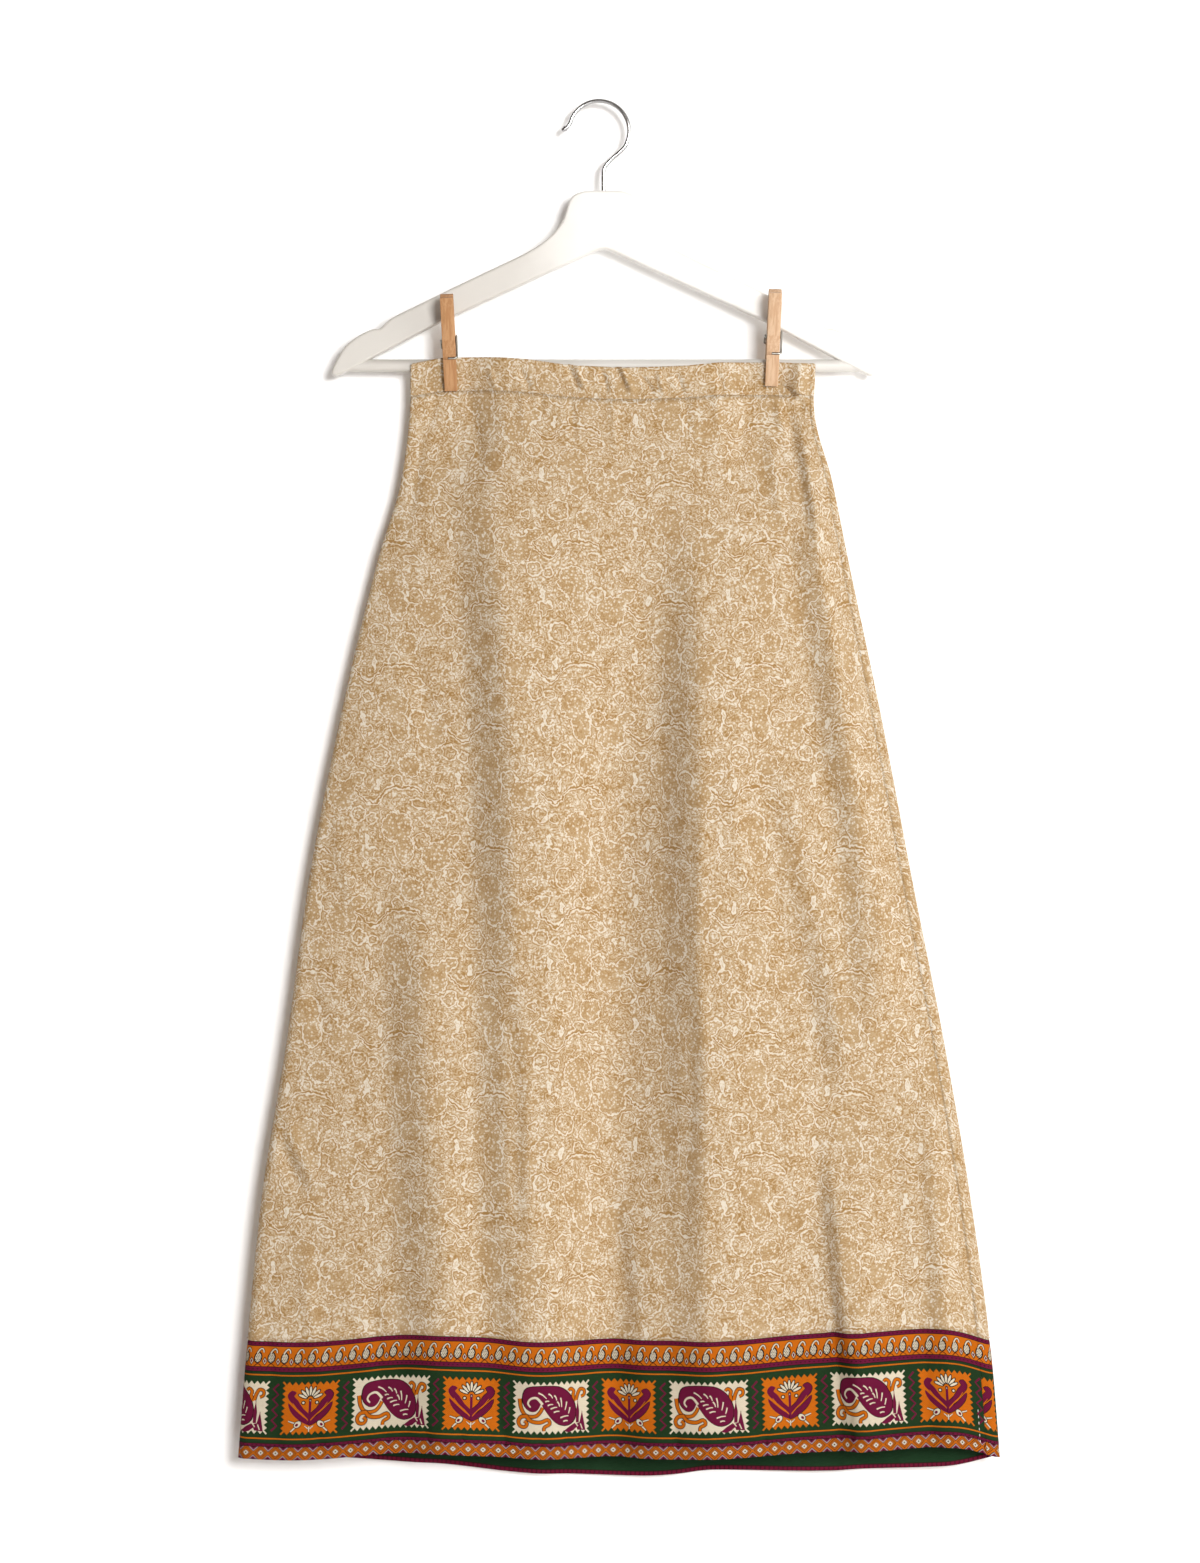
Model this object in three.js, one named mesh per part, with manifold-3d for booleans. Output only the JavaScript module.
// A-line skirt with a bordered hem, held by two spring pegs on the bar of a white wooden hanger.
// Millimetres, +Z up. The front of the skirt looks towards -Y, and +X is on the viewer's right.
// The origin is the inner top of the hanger's hook, where a rail or a nail holds it.

import * as THREE from 'three';
import Module from 'manifold-3d';
import { mergeVertices } from 'three/addons/utils/BufferGeometryUtils.js';

const wasm = await Module();
wasm.setup();

// Cloth and seams
const CLOTH = 1.2;
const SEAM = 0.3;
const FLAT_HALF = CLOTH + 0.2;
const FOLD_FADE = 0.22;
const EDGE_FADE = 0.12;

// Heights of the skirt before its edges sag
const WAIST_TOP = -202;
const BAND_BOTTOM = -227;
const BORDER_TOP = -974.6;
const HEM = -1067;

// Hanger
const HANGER_X = 3.5;
const BOARD_THICKNESS = 11;
const BOARD_BEVEL = 1.5;
const BAR_HEIGHT = -207.1;
const BAR_RADIUS = 5;
const BAR_HALF_LENGTH = 205;
const BAR_SIDES = 24;
const BAR_GAP = 0.42;
const WIRE_RADIUS = 1.7;
const HOOK_RADIUS = 23.7;
const SHANK_DEPTH = 20;
const HOOK_SIDES = 8;
const HOOK_STEPS = 44;
const HOOK_ARC = { from: THREE.MathUtils.degToRad(-36), to: THREE.MathUtils.degToRad(166), steps: 14 };

// Pegs. They lean forward so that their handles pass in front of the hanger's arms.
const PEG_TILT = THREE.MathUtils.degToRad(24.5);
const PEG_WIDTH = 10.2;
const CLAMPED = BAR_RADIUS + BAR_GAP + 2 * FLAT_HALF * Math.cos(PEG_TILT);
const PEG_JAW = CLAMPED + SEAM;
const PEG_BACK_JAW = BAR_RADIUS + SEAM;
const SPRING_WIRE = 0.8;
const SPRING_RADIUS = 3.4;
const SPRING_TURNS = 3.5;
const SPRING_TURN_STEPS = 10;
const SPRING_START = Math.PI * 0.75;
const SPRING_TAIL = 7;
const SPRING_BEND = 2.2;
const SPRING_SIDES = 6;
const SPRING_STEPS = 64;
const PINCH_REACH = 9;
const PINCH_SPREAD = 46;
const PINCH_BOTTOM = -231;
const PINCH_END = -330;

const PEGS = [
  { name: 'peg_left', x: -117.2, coil: 23, lean: -2.2 },
  { name: 'peg_right', x: 136.2, coil: 27, lean: 1.7 },
];

// The skirt's ring at each height: its two edges, how far its front and back stand out from the
// middle, the radius of its folded edges, and how square the fullness is between them.
const SECTIONS = [
  { height: -200, left: -148.3, right: 170.4, front: 11.5, back: 1.4, edge: 1.4, square: 2.2 },
  { height: -234, left: -149, right: 169.6, front: 13, back: 2.6, edge: 1.6, square: 2.2 },
  { height: -297, left: -156.2, right: 183.8, front: 15, back: 7, edge: 3, square: 2.4 },
  { height: -360, left: -174.4, right: 196.5, front: 16, back: 10, edge: 4, square: 2.7 },
  { height: -486, left: -204.3, right: 222.9, front: 17, back: 13, edge: 5.5, square: 3.2 },
  { height: -613, left: -228.8, right: 247, front: 18, back: 15, edge: 6.5, square: 3.6 },
  { height: -739, left: -246.2, right: 271.8, front: 19, back: 16, edge: 7.5, square: 4 },
  { height: -865, left: -266.3, right: 293.1, front: 20, back: 18, edge: 8, square: 4.2 },
  { height: -991, left: -278.5, right: 309.7, front: 21, back: 20, edge: 9, square: 4.4 },
  { height: -1067, left: -284.4, right: 316, front: 22, back: 21, edge: 9.5, square: 4.5 },
];

// Long soft folds: where each starts and ends, its sideways place at four even steps between,
// how far it stands out, and the widths of its steep left side and its slow right side.
const FRONT_FOLDS = [
  { from: -225, to: -1000, a: -107, b: -80, c: -77, d: -47, depth: 7.5, rise: 26, fall: 110 },
  { from: -275, to: -1180, a: 63, b: 66, c: 71, d: 70, depth: 8.5, rise: 28, fall: 95 },
  { from: -236, to: -700, a: 146, b: 169, c: 196, d: 211, depth: 7, rise: 20, fall: 46 },
  { from: -500, to: -760, a: 130, b: 151, c: 172, d: 189, depth: 4.5, rise: 22, fall: 40 },
  { from: -640, to: -1130, a: -161, b: -156, c: -147, d: -145, depth: 6, rise: 26, fall: 70 },
  { from: -830, to: -1250, a: 17, b: 22, c: 26, d: 28, depth: 4, rise: 22, fall: 48 },
  { from: -800, to: -1250, a: 172, b: 186, c: 200, d: 210, depth: 7, rise: 20, fall: 60 },
  { from: -760, to: -1180, a: 255, b: 262, c: 268, d: 272, depth: 5, rise: 20, fall: 34 },
];
const BACK_FOLDS = [
  { from: -300, to: -1180, a: -84, b: -105, c: -126, d: -140, depth: 7, rise: 30, fall: 90 },
  { from: -240, to: -1250, a: -22, b: -30, c: -34, d: -40, depth: 6, rise: 28, fall: 80 },
  { from: -320, to: -1250, a: 48, b: 62, c: 70, d: 78, depth: 7.5, rise: 30, fall: 90 },
  { from: -420, to: -1180, a: 150, b: 172, c: 190, d: 204, depth: 6, rise: 26, fall: 60 },
];

// How far the waist's edge sags from its highest place, and how far the hem's edge stands
// above or below HEM, by the share of the width from left to right.
const WAIST_SAG = [
  { share: 0, sag: 5 },
  { share: 0.1, sag: 0.3 },
  { share: 0.16, sag: 0.3 },
  { share: 0.27, sag: 2 },
  { share: 0.4, sag: 7 },
  { share: 0.53, sag: 8.7 },
  { share: 0.67, sag: 7.4 },
  { share: 0.78, sag: 4.5 },
  { share: 0.9, sag: 4 },
  { share: 1, sag: 4.7 },
];
const HEM_WAVE = [
  { share: 0, front: 0, back: 0 },
  { share: 0.06, front: -0.5, back: -1 },
  { share: 0.25, front: 7.5, back: -7 },
  { share: 0.4, front: 3, back: -14 },
  { share: 0.53, front: 2.3, back: -15.6 },
  { share: 0.63, front: 3.5, back: -12 },
  { share: 0.74, front: 7, back: -12.5 },
  { share: 0.93, front: 10.5, back: -9 },
  { share: 1, front: 0, back: 0 },
];
const SAG_END = -340;
const WAVE_START = { front: -740, back: -520 };

// Columns of the cloth's grids
const FRONT_COLUMNS = 36;
const BACK_COLUMNS = 28;
const EDGE_STEPS = 4;
const LEFT_SEAM_BEHIND = 8;
const RIGHT_SEAM_INSET = 2;
const PANEL_ROWS = 18;
const BAND_HEIGHTS = [WAIST_TOP, -210.5, -219.5, BAND_BOTTOM];
const BORDER_ROWS = 3;
const FACING_HEIGHTS = [HEM + 30, HEM + 15, HEM + 0.8];
const FACING = 1;

function material(color, roughness, metalness = 0) {
  return new THREE.MeshStandardMaterial({ color, roughness, metalness });
}

const PRINT = material(0xd7b991, 0.85);
const BAND_PRINT = material(0xdabf98, 0.85);
const BORDER = material(0x8a5a2a, 0.8);
const FACING_GREEN = material(0x23452f, 0.85);
const PAINT = material(0xf3efe8, 0.45);
const STEEL = material(0xb9bcc0, 0.2, 1);
const SPRING_STEEL = material(0x6d706c, 0.4, 1);
const PEG_WOOD = material(0xd7a678, 0.7);

function smooth(edge0, edge1, value) {
  const t = THREE.MathUtils.clamp((value - edge0) / (edge1 - edge0), 0, 1);
  return t * t * (3 - 2 * t);
}

// A smooth reading between the rows of a table, with no overshoot past their values.
function read(rows, key, column, at) {
  const rising = rows[1][key] > rows[0][key] ? 1 : -1;
  const last = rows.length - 1;
  let i = 0;
  while (i < last - 1 && (at - rows[i + 1][key]) * rising > 0) {
    i += 1;
  }
  const step = (k) => rows[k + 1][key] - rows[k][key];
  const slope = (k) => (rows[k + 1][column] - rows[k][column]) / step(k);
  const tangent = (k) => {
    if (k === 0) return slope(0);
    if (k === last) return slope(last - 1);
    const before = slope(k - 1);
    const after = slope(k);
    return before * after > 0 ? (2 * before * after) / (before + after) : 0;
  };
  const t = THREE.MathUtils.clamp((at - rows[i][key]) / step(i), 0, 1);
  const t2 = t * t;
  const t3 = t2 * t;
  return (2 * t3 - 3 * t2 + 1) * rows[i][column]
    + (t3 - 2 * t2 + t) * step(i) * tangent(i)
    + (3 * t2 - 2 * t3) * rows[i + 1][column]
    + (t3 - t2) * step(i) * tangent(i + 1);
}

// How far one fold stands out at a place: a steep left side, then a slow fall to the right.
function foldHeight(fold, x, height) {
  const t = (height - fold.from) / (fold.to - fold.from);
  if (t <= 0 || t >= 1) return 0;
  const rows = [
    { t: 0, x: fold.a },
    { t: 1 / 3, x: fold.b },
    { t: 2 / 3, x: fold.c },
    { t: 1, x: fold.d },
  ];
  const across = x - read(rows, 't', 'x', t);
  const ends = smooth(0, FOLD_FADE, t) * smooth(0, FOLD_FADE, 1 - t);
  const left = smooth(-fold.rise / 2, fold.rise / 2, across);
  const right = 1 - smooth(0, fold.fall, across - fold.rise / 2);
  return fold.depth * ends * left * right;
}

// One where a peg nips the cloth flat, falling to nothing beside and below it.
function pinch(x, z) {
  let most = 0;
  for (const peg of PEGS) {
    const beside = 1 - smooth(PINCH_REACH, PINCH_SPREAD, Math.abs(x - peg.x));
    const below = 1 - smooth(-PINCH_BOTTOM, -PINCH_END, -z);
    most = Math.max(most, beside * below);
  }
  return most;
}

// The middle between the two layers. At the waist they lean against the bar as the pegs do.
function middle(z) {
  const bentTo = Math.max(z, BAND_HEIGHTS[2]);
  const outside = -CLAMPED / Math.cos(PEG_TILT) - (bentTo - BAR_HEIGHT) * Math.tan(PEG_TILT);
  return outside + FLAT_HALF;
}

class Ring {
  constructor(height) {
    this.height = height;
    for (const column of ['left', 'right', 'front', 'back', 'edge', 'square']) {
      this[column] = read(SECTIONS, 'height', column, height);
    }
  }

  // The height that a place on the ring really has, once the edges sag and wave.
  level(x, side) {
    const share = THREE.MathUtils.clamp((x - this.left) / (this.right - this.left), 0, 1);
    const sagging = 1 - smooth(-WAIST_TOP, -SAG_END, -this.height);
    const sag = read(WAIST_SAG, 'share', 'sag', share) * sagging;
    const waved = smooth(-WAVE_START[side], -BORDER_TOP, -this.height);
    const wave = read(HEM_WAVE, 'share', side, share) * waved;
    return this.height - sag + wave;
  }

  // How far a side stands out from the middle at x.
  depth(x, side) {
    const half = (this.right - this.left) / 2;
    const inset = Math.min(x - this.left, this.right - x) - this.edge;
    const share = THREE.MathUtils.clamp(inset / (half - this.edge), 0, 1);
    const fullness = 1 - (1 - share) ** this.square;
    let depth = this.edge + (this[side] - this.edge) * fullness;
    for (const fold of side === 'front' ? FRONT_FOLDS : BACK_FOLDS) {
      depth += foldHeight(fold, x, this.height) * smooth(0, EDGE_FADE, share);
    }
    return THREE.MathUtils.lerp(depth, FLAT_HALF, pinch(x, this.level(x, side)));
  }

  // A place on the outside of the ring, and the direction that faces out there.
  place(station) {
    if (station.turn !== undefined) {
      const end = station.end === 'left' ? this.left + this.edge : this.right - this.edge;
      const out = station.end === 'left' ? -1 : 1;
      const nx = out * Math.cos(station.turn);
      const ny = Math.sin(station.turn);
      const x = end + this.edge * nx;
      const z = this.level(x, ny < 0 ? 'front' : 'back');
      return { x, y: middle(z) + this.edge * ny, z, nx, ny };
    }
    const from = this.left + this.edge + station.fromLeft;
    const to = this.right - this.edge - station.fromRight;
    const x = THREE.MathUtils.lerp(from, to, station.share);
    const z = this.level(x, station.side);
    const sign = station.side === 'front' ? -1 : 1;
    const slope = this.depth(x + 1, station.side) - this.depth(x - 1, station.side);
    const normal = new THREE.Vector2(-slope / 2, sign).normalize();
    return { x, y: middle(z) + sign * this.depth(x, station.side), z, nx: normal.x, ny: normal.y };
  }
}

// Stations are the columns of a panel, in order round the ring from one seam to the other.
function edgeTurn(end, fromBack) {
  const stations = [];
  for (let i = 0; i <= EDGE_STEPS; i += 1) {
    const turn = Math.PI / 2 - (Math.PI * i) / EDGE_STEPS;
    stations.push({ end, turn: fromBack ? turn : -turn });
  }
  return stations;
}

function run(side, count, fromLeft, fromRight) {
  const stations = [];
  for (let i = 0; i <= count; i += 1) {
    const share = side === 'front' ? i / count : 1 - i / count;
    stations.push({ side, share, fromLeft, fromRight });
  }
  return stations;
}

const leftSeam = { side: 'back', share: 0, fromLeft: LEFT_SEAM_BEHIND, fromRight: 0 };
const frontRun = run('front', FRONT_COLUMNS, 0, RIGHT_SEAM_INSET).slice(1);
const FRONT_STATIONS = [leftSeam, ...edgeTurn('left', true), ...frontRun];
const backRun = run('back', BACK_COLUMNS, LEFT_SEAM_BEHIND + SEAM, 0).slice(1);
const rightSeam = { side: 'front', share: 1, fromLeft: 0, fromRight: RIGHT_SEAM_INSET - SEAM };
const BACK_STATIONS = [rightSeam, ...edgeTurn('right', false), ...backRun];

function evenHeights(top, bottom, rows, ease = 1) {
  const heights = [];
  for (let i = 0; i <= rows; i += 1) {
    heights.push(THREE.MathUtils.lerp(top, bottom, (i / rows) ** ease));
  }
  return heights;
}

// A closed wall of cloth over the stations and heights, set in from the ring's outside.
function clothWall(stations, heights, setIn = 0, thickness = CLOTH) {
  const columns = stations.length;
  const rows = heights.length;
  const positions = [];
  for (const inward of [setIn, setIn + thickness]) {
    for (const height of heights) {
      const ring = new Ring(height);
      for (const station of stations) {
        const at = ring.place(station);
        positions.push(at.x - at.nx * inward, at.y - at.ny * inward, at.z);
      }
    }
  }
  const outer = (row, column) => row * columns + column;
  const inner = (row, column) => rows * columns + outer(row, column);
  const faces = [];
  const quad = (a, b, c, d) => faces.push(a, b, c, a, c, d);
  for (let r = 0; r < rows - 1; r += 1) {
    for (let c = 0; c < columns - 1; c += 1) {
      quad(outer(r, c), outer(r + 1, c), outer(r + 1, c + 1), outer(r, c + 1));
      quad(inner(r, c), inner(r, c + 1), inner(r + 1, c + 1), inner(r + 1, c));
    }
    const last = columns - 1;
    quad(outer(r, 0), inner(r, 0), inner(r + 1, 0), outer(r + 1, 0));
    quad(outer(r, last), outer(r + 1, last), inner(r + 1, last), inner(r, last));
  }
  for (let c = 0; c < columns - 1; c += 1) {
    const bottom = rows - 1;
    quad(outer(0, c), outer(0, c + 1), inner(0, c + 1), inner(0, c));
    quad(outer(bottom, c), inner(bottom, c), inner(bottom, c + 1), outer(bottom, c + 1));
  }
  const geometry = new THREE.BufferGeometry();
  geometry.setAttribute('position', new THREE.Float32BufferAttribute(positions, 3));
  geometry.setIndex(faces);
  geometry.computeVertexNormals();
  return geometry;
}

function named(name, geometry, finish) {
  const mesh = new THREE.Mesh(geometry, finish);
  mesh.name = name;
  return mesh;
}

function skirt() {
  const panelHeights = evenHeights(BAND_BOTTOM - SEAM, BORDER_TOP + SEAM, PANEL_ROWS, 1.2);
  const borderHeights = evenHeights(BORDER_TOP, HEM, BORDER_ROWS);
  const facingRun = run('back', BACK_COLUMNS, LEFT_SEAM_BEHIND + SEAM, 0);
  const group = new THREE.Group();
  group.add(
    named('front_panel', clothWall(FRONT_STATIONS, panelHeights), PRINT),
    named('back_panel', clothWall(BACK_STATIONS, panelHeights), PRINT),
    named('waistband_front', clothWall(FRONT_STATIONS, BAND_HEIGHTS), BAND_PRINT),
    named('waistband_back', clothWall(BACK_STATIONS, BAND_HEIGHTS), BAND_PRINT),
    named('hem_border_front', clothWall(FRONT_STATIONS, borderHeights), BORDER),
    named('hem_border_back', clothWall(BACK_STATIONS, borderHeights), BORDER),
    named('hem_facing_back', clothWall(facingRun, FACING_HEIGHTS, CLOTH + SEAM, FACING), FACING_GREEN),
  );
  return group;
}

// Solids for the hanger's bores. Corners nearer than this are one corner.
const MERGE = 1e-4;

function solid(geometry) {
  const bare = geometry.clone();
  bare.deleteAttribute('normal');
  bare.deleteAttribute('uv');
  const merged = mergeVertices(bare, MERGE);
  const mesh = new wasm.Mesh({
    numProp: 3,
    vertProperties: new Float32Array(merged.attributes.position.array),
    triVerts: new Uint32Array(merged.index.array),
  });
  return new wasm.Manifold(mesh);
}

function fromSolid(body) {
  const mesh = body.getMesh();
  const geometry = new THREE.BufferGeometry();
  geometry.setAttribute('position', new THREE.BufferAttribute(mesh.vertProperties, 3));
  geometry.setIndex(new THREE.BufferAttribute(mesh.triVerts, 1));
  geometry.computeVertexNormals();
  return geometry;
}

function rod(radius, length, sides) {
  return new THREE.CylinderGeometry(radius, radius, length, sides);
}

// The board's outline on one side of its middle, from the top of the neck round to the tip
const NECK_AND_SHOULDER = [
  { reach: 14.6, height: -69.6 },
  { reach: 24, height: -73 },
  { reach: 28, height: -80 },
  { reach: 31, height: -92 },
  { reach: 38.3, height: -102.5 },
  { reach: 48.5, height: -111.5 },
  { reach: 62, height: -119.5 },
];
const ARM_AND_TIP = [
  { reach: 117.2, height: -145.6 },
  { reach: 169, height: -171 },
  { reach: 175.4, height: -178.6 },
  { reach: 182.4, height: -178.6 },
  { reach: 194, height: -184.5 },
  { reach: 203.5, height: -192 },
  { reach: 210.5, height: -203.2 },
  { reach: 214.8, height: -213.4 },
  { reach: 211, height: -216 },
  { reach: 202.4, height: -212 },
  { reach: 129, height: -173.2 },
];
const UNDER_NECK = { reach: 0, height: -114 };

function hangerBody() {
  const half = [...NECK_AND_SHOULDER, ...ARM_AND_TIP];
  const outline = new THREE.Shape();
  half.forEach(({ reach, height }, i) => {
    if (i === 0) outline.moveTo(reach, height);
    else outline.lineTo(reach, height);
  });
  outline.lineTo(UNDER_NECK.reach, UNDER_NECK.height);
  for (const { reach, height } of [...half].reverse()) {
    outline.lineTo(-reach, height);
  }
  outline.closePath();
  const board = new THREE.ExtrudeGeometry(outline, {
    depth: BOARD_THICKNESS - 2 * BOARD_BEVEL,
    bevelThickness: BOARD_BEVEL,
    bevelSize: BOARD_BEVEL,
    bevelOffset: -BOARD_BEVEL,
    bevelSegments: 2,
  });
  board.translate(0, 0, -(BOARD_THICKNESS - 2 * BOARD_BEVEL) / 2);
  board.rotateX(Math.PI / 2);
  board.translate(HANGER_X, 0, 0);
  const barBore = rod(BAR_RADIUS + SEAM, 2 * (BAR_HALF_LENGTH + SEAM), BAR_SIDES);
  barBore.rotateZ(Math.PI / 2);
  barBore.translate(HANGER_X, 0, BAR_HEIGHT);
  const neckTop = NECK_AND_SHOULDER[0].height;
  const shankBore = rod(WIRE_RADIUS + SEAM, 2 * (SHANK_DEPTH + SEAM), HOOK_SIDES);
  shankBore.rotateX(Math.PI / 2);
  shankBore.translate(HANGER_X, 0, neckTop);
  return fromSolid(solid(board).subtract(solid(barBore)).subtract(solid(shankBore)));
}

function hangerBar() {
  const bar = rod(BAR_RADIUS, 2 * BAR_HALF_LENGTH, BAR_SIDES);
  bar.rotateZ(Math.PI / 2);
  bar.translate(HANGER_X, 0, BAR_HEIGHT);
  return bar;
}

function wireTube(points, radius, sides, steps) {
  const section = new THREE.Shape();
  for (let i = 0; i < sides; i += 1) {
    const angle = (2 * Math.PI * i) / sides;
    if (i === 0) section.moveTo(radius, 0);
    else section.lineTo(radius * Math.cos(angle), radius * Math.sin(angle));
  }
  section.closePath();
  const path = new THREE.CatmullRomCurve3(points, false, 'centripetal');
  return new THREE.ExtrudeGeometry(section, { steps, extrudePath: path });
}

// The hook's wire below its round bend and past it, where the tip turns outwards
const HOOK_SHANK = [
  { x: HANGER_X, z: NECK_AND_SHOULDER[0].height - SHANK_DEPTH },
  { x: HANGER_X, z: -66 },
  { x: HANGER_X, z: -56 },
  { x: 4.6, z: -50.5 },
  { x: 9.5, z: -44.5 },
];
const HOOK_TIP = [
  { x: -25.6, z: -19.4 },
  { x: -29.2, z: -21.8 },
];

function hangerHook() {
  const centre = WIRE_RADIUS - HOOK_RADIUS;
  const at = ({ x, z }) => new THREE.Vector3(x, 0, z);
  const points = HOOK_SHANK.map(at);
  for (let i = 0; i <= HOOK_ARC.steps; i += 1) {
    const angle = THREE.MathUtils.lerp(HOOK_ARC.from, HOOK_ARC.to, i / HOOK_ARC.steps);
    const x = HOOK_RADIUS * Math.cos(angle);
    const z = centre + HOOK_RADIUS * Math.sin(angle);
    points.push(at({ x, z }));
  }
  points.push(...HOOK_TIP.map(at));
  return wireTube(points, WIRE_RADIUS, HOOK_SIDES, HOOK_STEPS);
}

// A peg's leg, seen from its side. Out is away from the peg's middle and along is up from the
// spring's coil. Its jaw has a flat groove for the bar, and its outer face a slot for the wire.
const LEG_TOP = 34.5;
const LEG_TIP = -39.5;
const SLOT_ALONG = -12.4;
const LEG_SLOT_OUT = 11.5;
const GROOVE_OUT = (PEG_JAW + PEG_BACK_JAW) / 2;
const LEG_PROFILE = [
  { out: 1.3, along: LEG_TOP },
  { out: 2.4, along: 5.4 },
  { out: 4.5, along: 3 },
  { out: 4.5, along: -3 },
  { out: 2.6, along: -5.4 },
  { out: 5.6, along: -11 },
  { out: GROOVE_OUT, along: -12 },
  { out: GROOVE_OUT, along: -33 },
  { out: 9.9, along: LEG_TIP },
  { out: 12.4, along: LEG_TIP },
  { out: 13.1, along: LEG_TIP + 6 },
  { out: 12.6, along: SLOT_ALONG - 1.1 },
  { out: LEG_SLOT_OUT, along: SLOT_ALONG - 1 },
  { out: LEG_SLOT_OUT, along: SLOT_ALONG + 1 },
  { out: 12.4, along: SLOT_ALONG + 1.1 },
  { out: 8.6, along: 2 },
  { out: 7, along: LEG_TOP - 7 },
  { out: 5.6, along: LEG_TOP },
];

function pegLeg(side) {
  const outline = new THREE.Shape();
  LEG_PROFILE.forEach(({ out, along }, i) => {
    if (i === 0) outline.moveTo(side * out, along);
    else outline.lineTo(side * out, along);
  });
  outline.closePath();
  const leg = new THREE.ExtrudeGeometry(outline, { depth: PEG_WIDTH, bevelEnabled: false });
  leg.translate(0, 0, -PEG_WIDTH / 2);
  leg.rotateY(Math.PI / 2);
  leg.rotateX(Math.PI / 2);
  return leg;
}

// One wire: across the slot of one leg, down its side to the coil, round it, and back to the other.
function pegSpring() {
  const beside = PEG_WIDTH / 2 + SPRING_WIRE + SEAM;
  const slot = LEG_SLOT_OUT + SPRING_WIRE + SEAM;
  // From the end of the wire in one leg's slot, round the leg's edge. Side is 1 at the right.
  const tail = (side) => [
    { in: SPRING_TAIL, back: 0 },
    { in: SPRING_BEND, back: 0 },
    { in: SPRING_BEND * 0.2, back: SPRING_BEND * 0.2 },
    { in: 0, back: SPRING_BEND },
  ].map(({ in: inward, back }) => (
    new THREE.Vector3(side * (beside - inward), -side * (slot - back), SLOT_ALONG + back)
  ));
  const coil = [];
  const steps = SPRING_TURNS * SPRING_TURN_STEPS;
  for (let i = 0; i <= steps; i += 1) {
    const angle = SPRING_START + (2 * Math.PI * i) / SPRING_TURN_STEPS;
    const x = THREE.MathUtils.lerp(beside, -beside, i / steps);
    coil.push(new THREE.Vector3(x, SPRING_RADIUS * Math.cos(angle), SPRING_RADIUS * Math.sin(angle)));
  }
  const points = [...tail(1), ...coil, ...tail(-1).reverse()];
  return wireTube(points, SPRING_WIRE, SPRING_SIDES, SPRING_STEPS);
}

function peg({ name, x, coil, lean }) {
  const tilted = new THREE.Group();
  const middleOfJaws = (PEG_BACK_JAW - PEG_JAW) / 2;
  const legs = [
    named(`${name}_front_leg`, pegLeg(-1), PEG_WOOD),
    named(`${name}_back_leg`, pegLeg(1), PEG_WOOD),
    named(`${name}_spring`, pegSpring(), SPRING_STEEL),
  ];
  for (const piece of legs) {
    piece.position.set(0, middleOfJaws, coil);
    tilted.add(piece);
  }
  tilted.rotation.x = PEG_TILT;
  const group = new THREE.Group();
  group.add(tilted);
  group.position.set(x, 0, BAR_HEIGHT);
  group.rotation.y = THREE.MathUtils.degToRad(lean);
  return group;
}

const model = new THREE.Group();
model.add(
  skirt(),
  named('hanger_body', hangerBody(), PAINT),
  named('hanger_bar', hangerBar(), PAINT),
  named('hanger_hook', hangerHook(), STEEL),
  ...PEGS.map(peg),
);

export default model;
